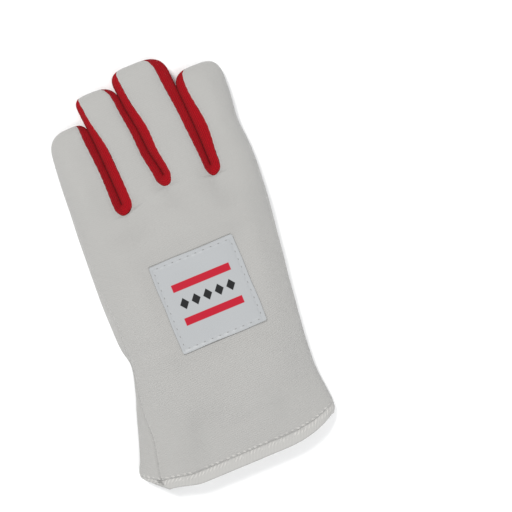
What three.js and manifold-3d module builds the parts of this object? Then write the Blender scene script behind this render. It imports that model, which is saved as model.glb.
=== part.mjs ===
// A left-hand cricket batting inner glove, lying palm down with its thumb folded under the palm.
// Knitted cotton back and palm panels, three red fourchettes between the fingers, a set-in thumb,
// a cuff hem and a sewn patch. Millimetres: +X to the thumb side, +Y to the fingertips, +Z up.
import * as THREE from "three";
import { mergeVertices } from "three/addons/utils/BufferGeometryUtils.js";
import Module from "manifold-3d";

const wasm = await Module();
wasm.setup();
const { lerp, clamp, degToRad } = THREE.MathUtils;

// Cloth and seams
const clothWall = 1.2;
const seamGap = 0.3; // between the cut edges of two pieces that are sewn together

// Palm and cuff
const palmLength = 161.5; // cuff edge to the lowest finger crotch
const handWidth = 115.7; // across the feet of the four fingers
const handHollow = 7.8; // clear height inside the palm, over the folded thumb
const foldHeight = 3.5; // middle of the soft folds along the sides and at the fingertips
const backEdgeRun = 26; // the back falls away to a side fold over this width
const palmEdgeRun = 4;
const sideWrap = 1; // palm cloth showing above the thumb-side fold
const cuffRiseLittle = 4; // the cuff's edge climbs this far towards each side
const cuffRiseThumb = 8;
const littleRiseStart = 0.6; // from the middle to a side, the share where the edge begins to climb
const thumbRiseStart = 0.35;
const thumbRisePower = 2.4; // how roundly it climbs to the thumb-side corner
const cuffCorner = 9; // and the palm cloth's corner this much further up the little-finger side
const hemWidth = 7;
const hemWall = 2.2;

// Fingers
const fingerReach = 84; // lowest finger crotch to the longest fingertip
const fingerClearance = 0.8;
const fingerHeight = 13;
const fingerEdgeRun = 13;
const webDepth = 7.5; // red web between the foot of a crotch slot and the gap of two fingers
const bandShow = 6; // fourchette seen from above beside each finger
const seamDip = 2.4; // finger backs drop this much from their middle to the fourchette seam
const palmSeamLift = 1.2;
const tipEdgeRun = 9; // the backs fall to the fingertip fold over this length

// From the little finger to the index finger. width is a share of handWidth and the rest are shares
// of fingerReach: tipRun is the rounded end's length, and tipShift moves the end sideways.
const fingerShares = [
  { width: 0.274, length: 0.744, tipRun: 0.155, tipShift: 0.024 },
  { width: 0.2567, length: 0.9226, tipRun: 0.137, tipShift: -0.024 },
  { width: 0.2403, length: 1, tipRun: 0.161, tipShift: -0.018 },
  { width: 0.229, length: 0.8274, tipRun: 0.167, tipShift: 0.0083 },
];

// Thumb, folded flat under the palm
const thumbLength = 86;
const thumbWidth = 30;
const thumbHeight = 9;
const thumbEndRun = 13; // its ends round off over this length
const thumbLean = degToRad(6); // towards the little finger
const thumbHoleLength = 30;
const thumbHoleMargin = 4; // thumb cloth left on each side of the hole into the palm
const thumbTentRun = 15; // palm cloth falls from the thumb to the table over this width
const thumbTentEase = 3;

// Patch
const patchWidth = 52.5;
const patchLength = 54;
const patchWall = 1;

// Where the pieces sit
const fingers = fingerShares.map(({ width, length, tipRun, tipShift }) => ({
  width: handWidth * width,
  length: fingerReach * length,
  tipRun: fingerReach * tipRun,
  tipShift: fingerReach * tipShift,
}));
const fingerPitch = handWidth / fingers.length;
const thumbTop = thumbHeight + seamGap;
const backTop = thumbTop + clothWall + handHollow + clothWall;
const thumbBase = new THREE.Vector2(0.09 * handWidth, 0.375 * palmLength);
const patchCentre = new THREE.Vector2(0.008 * handWidth, 0.619 * palmLength);

// Palm stations. along is a share of palmLength, crown is a share of backTop, and the rest are
// shares of handWidth: how far each side lies out from its finger's outer side, and how far the
// little-finger seam lies in from the fold.
const stations = [
  { along: 0, left: 0.13, right: -0.138, seam: 0.09, crown: 0.56 },
  { along: 0.043, left: 0.162, right: -0.114, seam: 0.1, crown: 0.6 },
  { along: 0.124, left: 0.132, right: -0.118, seam: 0.09, crown: 0.68 },
  { along: 0.217, left: 0.098, right: -0.127, seam: 0.078, crown: 0.77 },
  { along: 0.31, left: 0.063, right: -0.121, seam: 0.043, crown: 0.86 },
  { along: 0.4, left: 0.022, right: -0.108, seam: 0.017, crown: 0.93 },
  { along: 0.489, left: -0.005, right: -0.091, seam: 0.007, crown: 0.98 },
  { along: 0.557, left: 0.012, right: -0.08, seam: 0.028, crown: 1 },
  { along: 0.65, left: 0.016, right: -0.06, seam: 0.039, crown: 1 },
  { along: 0.743, left: 0.016, right: -0.042, seam: 0.026, crown: 0.99 },
  { along: 0.867, left: 0.009, right: -0.017, seam: 0.013, crown: 0.94 },
  { along: 1, left: 0, right: 0, seam: 0.008, crown: 0.8 },
];

// Soft folds pressed into the back. Each is centred at shares of handWidth and palmLength, its
// length and spread are shares of handWidth, its depth is a share of backTop, and lean is in degrees.
const folds = [
  { across: 0.52, along: 0.955, length: 0.42, spread: 0.07, lean: 3, depth: 0.045 },
  { across: 0.1, along: 0.5, length: 0.24, spread: 0.08, lean: -14, depth: 0.07 },
  { across: 0.86, along: 0.46, length: 0.2, spread: 0.08, lean: 20, depth: 0.06 },
  { across: 0.3, along: 0.2, length: 0.3, spread: 0.1, lean: 62, depth: 0.05 },
  { across: 0.68, along: 0.17, length: 0.26, spread: 0.1, lean: 102, depth: 0.045 },
];

// Sway of the five finger lines as shares of fingerPitch, and along as a share of fingerReach.
// Lines 0 and 4 are the outer sides of the little and index fingers, 1 to 3 are the gaps.
const sways = [
  { along: 0, line0: 0, line1: 0, line2: 0, line3: 0, line4: 0 },
  { along: 0.19, line0: 0.04, line1: -0.007, line2: -0.015, line3: 0, line4: 0 },
  { along: 0.36, line0: 0.066, line1: -0.024, line2: -0.11, line3: 0, line4: -0.028 },
  { along: 0.54, line0: 0.11, line1: -0.048, line2: -0.152, line3: -0.017, line4: 0.035 },
  { along: 0.72, line0: 0.16, line1: -0.087, line2: -0.23, line3: -0.04, line4: 0.062 },
  { along: 1, line0: 0.17, line1: -0.14, line2: -0.3, line3: -0.08, line4: 0.05 },
];

// The slot at each gap: its foot's height over the lowest crotch as a share of webDepth, and the
// fourchette shown on the finger before it and after it, as shares of bandShow from foot to tip.
const slots = {
  1: {
    rise: 0,
    before: { foot: 0.83, middle: 0.75, tip: 0.83 },
    after: { foot: 1.08, middle: 1.07, tip: 0.57 },
  },
  2: {
    rise: 0.93,
    before: { foot: 0.92, middle: 0.77, tip: 0.67 },
    after: { foot: 0.75, middle: 1, tip: 0.8 },
  },
  3: {
    rise: 0.27,
    before: { foot: 0.7, middle: 0.93, tip: 1.17 },
    after: { foot: 0.97, middle: 1.23, tip: 0.92 },
  },
};

// Columns across a finger, from its little-finger side, closer together towards an outer fold
const innerColumns = [0, 0.17, 0.33, 0.5, 0.67, 0.83, 1];
const outerColumns = [0, 0.03, 0.09, 0.2, 0.35, 0.5, 0.67, 0.84, 1];
const lastFinger = fingers.length - 1;
const columnsOf = (finger) => {
  if (finger === 0) return outerColumns;
  return finger === lastFinger ? outerColumns.map((share) => 1 - share).reverse() : innerColumns;
};

const wrapShares = [1, 0.4, 0.1]; // from the seam to the fold, in the cloth wrapped over a side
const bodyRows = 16;
const fadeStart = 0.74; // share of palmLength where the valleys between the fingers begin
const webLevels = [90, 60, 30].map((degrees) => ({ angle: degToRad(degrees) }));
const runLevels = [0, 0.2, 0.4, 0.6, 0.8, 1].map((run) => ({ run }));
const tipLevels = [0.4, 0.7, 0.88, 0.95, 1].map((tip) => ({ tip }));
const levels = [...webLevels, ...runLevels, ...tipLevels];
const bluntShare = 0.95; // of a tip's run, where its end stays blunt
const tipPower = 2.6; // superellipse power of a fingertip's outline
const webShares = [0, 0.25, 0.5, 0.75, 1]; // down a fourchette, from the back to the palm

// Rises from 0 to 1 like the quarter of a circle.
const quarter = (share) => (share >= 1 ? 1 : Math.sqrt(Math.max(0, share * (2 - share))));
const smooth = (share) => THREE.MathUtils.smoothstep(share, 0, 1);

// A smooth curve through one column of a table.
function read(table, column, along) {
  let row = 0;
  while (row < table.length - 2 && along > table[row + 1].along) row++;
  const [from, to] = [table[row], table[row + 1]];
  const before = table[Math.max(row - 1, 0)];
  const after = table[Math.min(row + 2, table.length - 1)];
  const run = to.along - from.along;
  const startSlope = ((to[column] - before[column]) / (to.along - before.along)) * run;
  const endSlope = ((after[column] - from[column]) / (after.along - from.along)) * run;
  const t = clamp((along - from.along) / run, 0, 1);
  const bend = t * (1 - t) * (startSlope * (1 - t) - endSlope * t);
  return lerp(from[column], to[column], smooth(t)) + bend;
}

// Finger lines and slots

const knuckles = [-handWidth / 2];
for (const finger of fingers) knuckles.push(knuckles.at(-1) + finger.width);

function lineX(line, y) {
  const along = Math.max(0, (y - palmLength) / fingerReach);
  return knuckles[line] + fingerPitch * read(sways, "line" + line, along);
}

// The outer sides of the hand follow the nearest slot.
const slotAt = (line) => clamp(line, 1, lastFinger);
const slotRise = (line) => webDepth * slots[slotAt(line)].rise;
const gapY = (line) => palmLength + slotRise(line) + webDepth;

function bandWidth(finger, side, share) {
  const line = side === "left" ? finger : finger + 1;
  if (slotAt(line) !== line) return 0;
  const { foot, middle, tip } = side === "left" ? slots[line].after : slots[line].before;
  const t = clamp(share, 0, 1);
  return bandShow * (t < 0.5 ? lerp(foot, middle, smooth(2 * t)) : lerp(middle, tip, smooth(2 * t - 1)));
}

// 1 at a fourchette seam, falling to 0 in the middle of a finger and towards an outer fold.
function valley(finger, u) {
  const outward = (finger === 0 && u < 0.5) || (finger === lastFinger && u > 0.5);
  return outward ? 0 : Math.abs(2 * u - 1) ** 2.5;
}

// Palm body

function station(along) {
  return {
    left: knuckles[0] - handWidth * read(stations, "left", along),
    right: knuckles.at(-1) + handWidth * read(stations, "right", along),
    seam: handWidth * read(stations, "seam", along),
    crown: backTop * read(stations, "crown", along),
  };
}

const seamAtFingers = station(1).seam;

// How deep the soft folds are at a place in the palm.
function foldDepth(x, y) {
  const depths = folds.map(({ across, along, length, spread, lean, depth }) => {
    const offset = new THREE.Vector2(x - knuckles[0] - handWidth * across, y - palmLength * along);
    offset.rotateAround(new THREE.Vector2(), -degToRad(lean)).divideScalar(handWidth);
    return backTop * depth * Math.exp(-((offset.x / length) ** 2) - (offset.y / spread) ** 2);
  });
  return depths.reduce((sum, depth) => sum + depth, 0);
}

function backHeight(x, { left, right, crown }, edgeRun) {
  return lerp(foldHeight, crown, quarter((x - left) / edgeRun) * quarter((right - x) / edgeRun));
}

const thumbAxis = new THREE.Vector2(-Math.sin(thumbLean), Math.cos(thumbLean));

// How far the palm cloth is lifted off the table by the thumb under it.
function thumbTent(x, y, { left, right }) {
  const offset = new THREE.Vector2(x, y).sub(thumbBase);
  const radius = thumbWidth / 2;
  const along = clamp(offset.dot(thumbAxis), radius, thumbLength - radius);
  const beyond = offset.addScaledVector(thumbAxis, -along).length() - radius - thumbTentEase;
  const inFromSide = Math.min(x - left, right - x) - palmEdgeRun;
  return thumbTop * (1 - smooth(beyond / thumbTentRun)) * smooth(inFromSide / thumbTentRun);
}

function palmHeight(x, y, sides) {
  const inside = quarter((x - sides.left) / palmEdgeRun) * quarter((sides.right - x) / palmEdgeRun);
  return foldHeight * (1 - inside) + thumbTent(x, y, sides);
}

// The columns of the whole palm: each lies at a share of a finger's width and of the palm's.
const columns = fingers.flatMap((finger, index) =>
  columnsOf(index)
    .slice(index ? 1 : 0)
    .map((u) => ({
      finger: index,
      u,
      across: (lerp(knuckles[index], knuckles[index + 1], u) - knuckles[0]) / handWidth,
      rise: lerp(slotRise(index), slotRise(index + 1), u),
    })),
);

const nearFingers = (along) => smooth((along - fadeStart) / (1 - fadeStart));

// The plan place of a column. wrapped is 1 where it is set in from the folds to the seams, or 0.
function bodyPlace(column, along, wrapped) {
  const { left, right, seam } = station(along);
  const outward = Math.abs(2 * column.across - 1);
  const littleSide = cuffRiseLittle * smooth((outward - littleRiseStart) / (1 - littleRiseStart));
  const climb = clamp((outward - thumbRiseStart) / (1 - thumbRiseStart), 0, 1);
  const thumbSide = cuffRiseThumb * climb ** thumbRisePower;
  const rise = column.across < 0.5 ? littleSide : thumbSide;
  const corner = cuffCorner * (1 - wrapped) * (1 - smooth(column.across / 0.25));
  const lift = (rise + corner) * Math.max(0, 1 - along / 0.4) ** 2;
  const x = lerp(left + seam * wrapped, right - sideWrap * wrapped, column.across);
  return [x, palmLength * along + lift + column.rise * nearFingers(along)];
}

function backBodyPoint(column, along, wrapped = 1) {
  const at = station(along);
  const [x, y] = bodyPlace(column, along, wrapped);
  const edgeRun = lerp(backEdgeRun, fingerEdgeRun, nearFingers(along));
  const dip = seamDip * valley(column.finger, column.u) * nearFingers(along);
  const height = backHeight(x, at, edgeRun) - dip;
  return new THREE.Vector3(x, y, height - foldDepth(x, y) * foldReach(height));
}

function palmBodyPoint(column, along) {
  const [x, y] = bodyPlace(column, along, 0);
  const lift = palmSeamLift * valley(column.finger, column.u) * nearFingers(along);
  const onHem = hemProud * (1 - smooth((palmLength * along) / hemWidth / 2 - 1));
  return new THREE.Vector3(x, y, palmHeight(x, y, station(along)) + lift + onHem);
}

// Folds are pressed into the cloth's top, and not into its sides.
const foldReach = (height) => smooth(height / foldHeight - 1);

// A row all round the palm: the back from left to right, then the palm cloth back to the left seam.
function bodyRow(along) {
  const over = (column, shares) => shares.map((share) => backBodyPoint(column, along, share));
  const under = columns.map((column) => palmBodyPoint(column, along)).reverse();
  const back = columns.map((column) => backBodyPoint(column, along));
  const palm = [...over(columns.at(-1), wrapShares), ...under, ...over(columns[0], wrapShares).reverse()];
  return { back, palm };
}

// Fingers

// One side of a finger at a level: its silhouette x, its seam x and its y.
function fingerSide(index, side, level) {
  const finger = fingers[index];
  const line = side === "left" ? index : index + 1;
  const inward = side === "left" ? 1 : -1;
  const foot = gapY(line);
  const shoulder = palmLength + finger.length - finger.tipRun;
  const clear = slotAt(line) === line ? fingerClearance / 2 : 0;
  if (level.angle !== undefined) {
    const y = foot - webDepth * Math.sin(level.angle);
    const reach = Math.cos(level.angle) * inward;
    const centre = lineX(line, clear ? foot : y);
    const seam = centre + (clear + bandWidth(index, side, 0)) * reach;
    return { x: centre + clear * reach, seam, y, share: 0 };
  }
  const along = level.run === undefined ? 1 : level.run;
  const y = lerp(foot, shoulder, along) + finger.tipRun * (level.tip ?? 0);
  const x = lineX(line, y) + inward * clear;
  const share = (y - foot) / (shoulder - foot);
  return { x, seam: x + inward * bandWidth(index, side, share), y, share };
}

// Both sides of a finger at a level, with the tip rounded off.
function fingerSection(index, level) {
  const [left, right] = ["left", "right"].map((side) => fingerSide(index, side, level));
  if (level.tip !== undefined) {
    const tip = Math.min(level.tip, bluntShare);
    const centre = (left.x + right.x) / 2 + fingers[index].tipShift * tip * tip;
    const half = ((right.x - left.x) / 2) * (1 - tip ** tipPower) ** (1 / tipPower);
    const bandFade = Math.sqrt(1 - level.tip ** 2);
    left.seam = centre - half + (left.seam - left.x) * bandFade;
    right.seam = centre + half + (right.seam - right.x) * bandFade;
    left.x = centre - half;
    right.x = centre + half;
  }
  const along = clamp((left.share + right.share) / 2, 0, 1);
  return {
    left,
    right,
    sides: {
      left: index === 0 ? left.x : -Infinity,
      right: index === lastFinger ? right.x : Infinity,
    },
    crown: lerp(station(1).crown, fingerHeight, smooth(2 * along)),
    wrap: level.tip === undefined ? 1 - (level.run ?? 0) : 0,
    tipY: palmLength + fingers[index].length,
  };
}

const sections = fingers.map((_, index) => levels.map((level) => fingerSection(index, level)));

// The finger's height at a place: flat height, drawn to the fold at the tip.
function fingerPoint(index, section, u, x, isBack) {
  const y = lerp(section.left.y, section.right.y, u);
  const flat = isBack
    ? backHeight(x, { ...section.sides, crown: section.crown }, fingerEdgeRun) - seamDip * valley(index, u)
    : palmHeight(x, y, section.sides) + palmSeamLift * valley(index, u);
  return new THREE.Vector3(x, y, lerp(foldHeight, flat, quarter((section.tipY - y) / tipEdgeRun)));
}

function backFingerPoint(index, section, u, wrapped = 1) {
  const leftInset = index === 0 ? seamAtFingers * section.wrap * wrapped : 0;
  const rightInset = index === lastFinger ? sideWrap * section.wrap * wrapped : 0;
  const x = lerp(section.left.seam + leftInset, section.right.seam - rightInset, u);
  return fingerPoint(index, section, u, x, true);
}

function palmFingerPoint(index, section, u) {
  return fingerPoint(index, section, u, lerp(section.left.seam, section.right.seam, u), false);
}

function fingerRow(index, section) {
  const over = (u, shares) => shares.map((share) => backFingerPoint(index, section, u, share));
  const back = columnsOf(index).map((u) => backFingerPoint(index, section, u));
  const under = columnsOf(index).map((u) => palmFingerPoint(index, section, u)).reverse();
  const right = index === lastFinger ? over(1, wrapShares) : [];
  const left = index === 0 ? over(0, wrapShares).reverse() : [];
  return { back, palm: [...right, ...under, ...left] };
}

// Across a fourchette at a level, bulging from its two seams to the finger's silhouette.
function webRow(index, side, section) {
  const u = side === "left" ? 0 : 1;
  const line = side === "left" ? index : index + 1;
  const [top, bottom] = [backFingerPoint(index, section, u), palmFingerPoint(index, section, u)];
  const { x, y } = section[side];
  const depth = Math.max(0, gapY(line) - y);
  const rise = depth * (1 - fingerClearance / 2 / webDepth);
  return webShares.map((share) => {
    const bulge = Math.sin(Math.PI * share);
    const height = lerp(top.z, bottom.z, (1 - Math.cos(Math.PI * share)) / 2);
    return new THREE.Vector3(lerp(top.x, x, bulge), top.y + rise * bulge, height);
  });
}

// The glove's skin: grids of quads that share their corner points, one or more for each piece.

class Skin {
  points = [];
  places = new Map();
  faces = {};

  corner(point) {
    const key = point.toArray().map((value) => Math.round(value * 1e4)).join();
    if (!this.places.has(key)) this.places.set(key, this.points.push(point) - 1);
    return this.places.get(key);
  }

  // With rows going up the piece, each row runs to the right as seen from outside.
  addGrid(piece, rows) {
    const grid = rows.map((row) => row.map((point) => this.corner(point)));
    this.faces[piece] ??= [];
    for (let i = 0; i + 1 < grid.length; i++)
      for (let j = 0; j + 1 < grid[i].length; j++) {
        const [a, b, c, d] = [grid[i][j], grid[i][j + 1], grid[i + 1][j + 1], grid[i + 1][j]];
        const span = (from, to) => this.points[from].distanceTo(this.points[to]);
        const halves = span(a, c) < span(b, d) ? [[a, b, c], [a, c, d]] : [[a, b, d], [b, c, d]];
        this.faces[piece].push(...halves.filter((face) => new Set(face).size === 3));
      }
  }

  // The summed face normals at each corner, and the sum of their lengths.
  normalsOf(faces) {
    const sums = this.points.map(() => new THREE.Vector3());
    const weights = this.points.map(() => 0);
    for (const face of faces) {
      const [a, b, c] = face.map((corner) => this.points[corner]);
      const normal = b.clone().sub(a).cross(c.clone().sub(a));
      for (const corner of face) {
        sums[corner].add(normal);
        weights[corner] += normal.length();
      }
    }
    return { sums, weights };
  }

  // A piece as a wall inside the skin, mitred where pieces meet and drawn back to leave the seam gap.
  // proud lifts its outside off the skin.
  wall(piece, thickness, proud = 0) {
    const faces = this.faces[piece];
    const all = this.normalsOf(Object.values(this.faces).flat());
    const own = this.normalsOf(faces).sums;
    const pulls = this.points.map(() => new THREE.Vector3());
    const edges = new Set(faces.flatMap(([a, b, c]) => [`${a} ${b}`, `${b} ${c}`, `${c} ${a}`]));
    const pairs = [...edges].map((edge) => edge.split(" ").map(Number));
    const border = pairs.filter(([a, b]) => !edges.has(`${b} ${a}`));
    for (const [a, b] of border) {
      const along = this.points[b].clone().sub(this.points[a]).normalize();
      for (const corner of [a, b]) pulls[corner].add(own[corner].clone().normalize().cross(along));
    }
    const used = [...new Set(faces.flat())];
    const layer = (depth) =>
      used.map((corner) => {
        const lean = Math.max(all.sums[corner].length() / all.weights[corner], 0.7);
        const pull = pulls[corner].clone().multiplyScalar(seamGap / Math.max(pulls[corner].lengthSq(), 1));
        const offset = all.sums[corner].clone().normalize().multiplyScalar(depth / lean);
        return offset.add(this.points[corner]).add(pull);
      });
    const place = new Map(used.map((corner, index) => [corner, index]));
    const inner = used.length;
    const index = faces.flatMap((face) => {
      const [a, b, c] = face.map((corner) => place.get(corner));
      return [a, b, c, c + inner, b + inner, a + inner];
    });
    for (const [from, to] of border) {
      const [a, b] = [place.get(from), place.get(to)];
      // The same diagonal as on the piece across the seam
      if (from < to) index.push(b, a, b + inner, a, a + inner, b + inner);
      else index.push(b, a, a + inner, b, a + inner, b + inner);
    }
    return indexed([...layer(proud), ...layer(proud - thickness)], index);
  }
}

function indexed(points, index) {
  const geometry = new THREE.BufferGeometry().setFromPoints(points);
  geometry.setIndex(index);
  return geometry;
}

// Cuts and joins

function solidOf(geometry) {
  const plain = geometry.clone();
  plain.deleteAttribute("normal");
  plain.deleteAttribute("uv");
  const merged = mergeVertices(plain, 1e-4);
  const vertProperties = merged.attributes.position.array;
  return new wasm.Manifold(
    new wasm.Mesh({ numProp: 3, vertProperties, triVerts: new Uint32Array(merged.index.array) }),
  );
}

function geometryOf(solid) {
  const mesh = solid.getMesh();
  const geometry = new THREE.BufferGeometry();
  geometry.setAttribute("position", new THREE.BufferAttribute(mesh.vertProperties, mesh.numProp));
  geometry.setIndex(new THREE.BufferAttribute(mesh.triVerts, 1));
  return geometry;
}

// Thumb

// A flattened tube with rounded ends, set in from the thumb's outside all round.
function thumbBody(inset) {
  const ringCount = 14;
  const ringSize = 20;
  const boxiness = 0.72; // power of the ring's sine and cosine, where 1 is an ellipse
  const boxy = (value) => Math.sign(value) * Math.abs(value) ** boxiness;
  const half = thumbLength / 2 - inset;
  const rings = [];
  for (let i = 1; i < ringCount; i++) {
    const along = -half * Math.cos((Math.PI * i) / ringCount);
    const fromEnd = half - Math.abs(along);
    const halfWidth = (thumbWidth / 2 - inset) * quarter(fromEnd / thumbEndRun);
    const halfHeight = (thumbHeight / 2 - inset) * quarter(fromEnd / thumbHeight);
    for (let j = 0; j < ringSize; j++) {
      const angle = (2 * Math.PI * j) / ringSize;
      const across = halfWidth * boxy(Math.cos(angle));
      rings.push(new THREE.Vector3(across, along, halfHeight * boxy(Math.sin(angle))));
    }
  }
  const [start, end] = [rings.length, rings.length + 1];
  const lastRing = rings.length - ringSize;
  const index = [];
  for (let j = 0; j < ringSize; j++) {
    const next = (j + 1) % ringSize;
    for (let ring = 0; ring < lastRing; ring += ringSize) {
      const [a, b, c, d] = [ring + j, ring + next, ring + ringSize + next, ring + ringSize + j];
      index.push(a, c, b, a, d, c);
    }
    index.push(start, j, next, end, lastRing + next, lastRing + j);
  }
  return indexed([...rings, new THREE.Vector3(0, -half, 0), new THREE.Vector3(0, half, 0)], index);
}

// Sets a shape made about the thumb's own middle under the palm.
function placeThumb(geometry) {
  geometry.rotateZ(thumbLean);
  const middle = thumbBase.clone().addScaledVector(thumbAxis, thumbLength / 2);
  return geometry.translate(middle.x, middle.y, thumbHeight / 2);
}

// The oval opening through the thumb's upper wall and the palm over it.
function thumbHole() {
  const oval = new THREE.Shape();
  oval.absellipse(0, 0, thumbWidth / 2 - thumbHoleMargin, thumbHoleLength / 2, 0, 2 * Math.PI);
  const prism = new THREE.ExtrudeGeometry(oval, { depth: backTop, bevelEnabled: false, curveSegments: 8 });
  prism.translate(0, (thumbHoleLength - thumbLength + thumbEndRun) / 2, 0);
  return solidOf(placeThumb(prism));
}

// Patch

// A sheet that follows the back of the hand, a seam's gap above it.
function patchGrid() {
  const shares = [0, 0.08, 0.22, 0.36, 0.5, 0.64, 0.78, 0.92, 1];
  return shares.map((along) =>
    shares.map((across) => {
      const x = patchCentre.x + patchWidth * (across - 0.5);
      const y = patchCentre.y + patchLength * (along - 0.5);
      const height = backHeight(x, station(y / palmLength), backEdgeRun) - foldDepth(x, y);
      return new THREE.Vector3(x, y, height + seamGap + patchWall);
    }),
  );
}

// Pieces

const hemProud = (hemWall - clothWall) / 2;
const hemShare = hemWidth / palmLength;
const skin = new Skin();

const hemRows = [0, 0.5, 1].map((share) => bodyRow(hemShare * share));
skin.addGrid("cuff_hem", hemRows.map(({ back, palm }) => [...back, ...palm.slice(1)]));

const knuckleRows = sections.map((levelSections, index) => fingerRow(index, levelSections[0]));
const knuckleRow = {
  back: knuckleRows.flatMap(({ back }, index) => back.slice(index ? 1 : 0)),
  palm: knuckleRows.reverse().flatMap(({ palm }, index) => palm.slice(index ? 1 : 0)),
};
const palmRows = Array.from({ length: bodyRows }, (_, row) => bodyRow(lerp(hemShare, 1, row / bodyRows)));
palmRows.push(knuckleRow);
skin.addGrid("back_panel", palmRows.map(({ back }) => back));
skin.addGrid("palm_panel", palmRows.map(({ palm }) => palm));
sections.forEach((levelSections, index) => {
  const rows = levelSections.map((section) => fingerRow(index, section));
  skin.addGrid("back_panel", rows.map(({ back }) => back));
  skin.addGrid("palm_panel", rows.map(({ palm }) => palm));
});

const fourchettes = {
  1: "fourchette_ring_little",
  2: "fourchette_middle_ring",
  3: "fourchette_index_middle",
};
for (const [line, piece] of Object.entries(fourchettes)) {
  const rows = (index, side) => sections[index].map((section) => webRow(index, side, section));
  const [down, up] = [rows(Number(line), "left").reverse(), rows(line - 1, "right")];
  skin.addGrid(piece, [...down, ...up.slice(1)]);
}

const materials = {
  cotton: new THREE.MeshStandardMaterial({ color: 0xcfcec9, roughness: 0.95, metalness: 0 }),
  redCotton: new THREE.MeshStandardMaterial({ color: 0xa81622, roughness: 0.95, metalness: 0 }),
  hemCotton: new THREE.MeshStandardMaterial({ color: 0xc9c8c2, roughness: 0.95, metalness: 0 }),
  vinyl: new THREE.MeshStandardMaterial({ color: 0xd4d8da, roughness: 0.4, metalness: 0 }),
};

const glove = new THREE.Group();

function addPiece(name, geometry, material) {
  geometry.computeVertexNormals();
  const mesh = new THREE.Mesh(geometry, material);
  mesh.name = name;
  glove.add(mesh);
}

const hole = thumbHole();
const thumbHollow = solidOf(placeThumb(thumbBody(clothWall)));
const thumbWall = solidOf(placeThumb(thumbBody(0))).subtract(thumbHollow);
const palmWall = solidOf(skin.wall("palm_panel", clothWall));
const patchSkin = new Skin();
patchSkin.addGrid("patch", patchGrid());

addPiece("back_panel", skin.wall("back_panel", clothWall), materials.cotton);
addPiece("palm_panel", geometryOf(palmWall.subtract(hole)), materials.cotton);
for (const piece of Object.values(fourchettes)) {
  addPiece(piece, skin.wall(piece, clothWall), materials.redCotton);
}
addPiece("cuff_hem", skin.wall("cuff_hem", hemWall, hemProud), materials.hemCotton);
addPiece("thumb", geometryOf(thumbWall.subtract(hole)), materials.cotton);
addPiece("patch", patchSkin.wall("patch", patchWall), materials.vinyl);

// The origin is under the middle of the glove, on the table.
const box = new THREE.Box3().setFromObject(glove);
glove.position.set(-(box.min.x + box.max.x) / 2, -(box.min.y + box.max.y) / 2, -box.min.z);

export default glove;
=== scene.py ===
# A left-hand cricket batting inner glove, lying palm down, dressed in knitted cotton.
# The cloth panels are worked out again from the glove's sizes, in finer cells than the frame's solids.
import math
from functools import lru_cache

import bpy
import numpy as np
from mathutils import Matrix, Vector
from mathutils.bvhtree import BVHTree
from mathutils.kdtree import KDTree


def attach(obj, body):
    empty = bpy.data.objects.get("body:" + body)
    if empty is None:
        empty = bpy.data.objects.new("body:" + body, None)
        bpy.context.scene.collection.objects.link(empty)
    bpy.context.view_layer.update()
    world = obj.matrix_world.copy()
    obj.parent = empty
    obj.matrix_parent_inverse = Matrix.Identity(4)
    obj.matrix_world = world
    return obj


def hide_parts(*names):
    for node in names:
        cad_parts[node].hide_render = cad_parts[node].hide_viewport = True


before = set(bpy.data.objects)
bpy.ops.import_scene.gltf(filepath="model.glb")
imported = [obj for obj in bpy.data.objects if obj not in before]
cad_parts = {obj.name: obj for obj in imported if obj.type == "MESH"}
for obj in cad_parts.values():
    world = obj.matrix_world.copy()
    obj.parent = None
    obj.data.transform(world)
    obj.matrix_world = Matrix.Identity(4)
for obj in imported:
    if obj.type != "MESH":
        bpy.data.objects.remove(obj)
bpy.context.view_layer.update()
MM = 0.001

# The glove's sizes, in millimetres
CLOTH = 1.2
PALM_LENGTH = 161.5
HAND_WIDTH = 115.7
HAND_HOLLOW = 7.8
REACH = 84
FOLD_HEIGHT = 3.5
BACK_EDGE_RUN = 26
PALM_EDGE_RUN = 4
SIDE_WRAP = 1
CUFF_RISE_LITTLE = 4
CUFF_RISE_THUMB = 8
LITTLE_RISE_START = 0.6
THUMB_RISE_START = 0.35
THUMB_RISE_POWER = 2.4
CUFF_RISE_RUN = 0.4
CUFF_CORNER = 9
CUFF_CORNER_RUN = 0.25
HEM_WIDTH = 7
HEM_WALL = 2.2
FINGER_CLEARANCE = -0.4
FINGER_HEIGHT = 13
FINGER_EDGE_RUN = 13
WEB_DEPTH = 7.5
BAND_SHOW = 6
SEAM_DIP = 2.4
PALM_SEAM_LIFT = 1.2
TIP_EDGE_RUN = 9
THUMB_LENGTH = 86
THUMB_WIDTH = 30
THUMB_HEIGHT = 9
THUMB_END_RUN = 13
THUMB_LEAN = math.radians(6)
THUMB_TENT_RUN = 15
THUMB_TENT_EASE = 3
PIECE_GAP = 0.3
THUMB_TOP = THUMB_HEIGHT + PIECE_GAP
BACK_TOP = THUMB_TOP + CLOTH + HAND_HOLLOW + CLOTH
PATCH_WIDTH = 52.5
PATCH_LENGTH = 54
PATCH_WALL = 1
KNUCKLE_RUN = 24
SEAM_GAP = 0.03
SEAM_DRAW = 0.14
SEAM_PUCKER = 0.22
SEAM_WANDER = 0.09
PUCKER_PITCH = 3.1
HEM_DRAW = 0.12
HEM_GATHER = 0.15
GATHER_PITCH = 7.3
PATCH_STITCH = 4.8
STITCH_INSET = 2.2
STITCH_RADIUS = 0.24
STITCH_HALF = 0.75
PATCH_PUFF = 0.25

# The knit's stitches, as wide and as high as this, and the pitch of the strips' ribs
WALE = 1.45
COURSE = 1.2
RIB = 1.25

# The slack: frames of settling, the furthest a point goes, its share that is kept, and its smoothing
SETTLE_FRAMES = 22
MOST_SLACK = 2.4
SLACK_SHARE = 2.2
CREASE_ROUNDS = 110
SLACK_ROUNDS = 40
LEVEL_REACH = 2.6
ABOVE = Vector((0, 0, 60))
DOWN = Vector((0, 0, -1))

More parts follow.
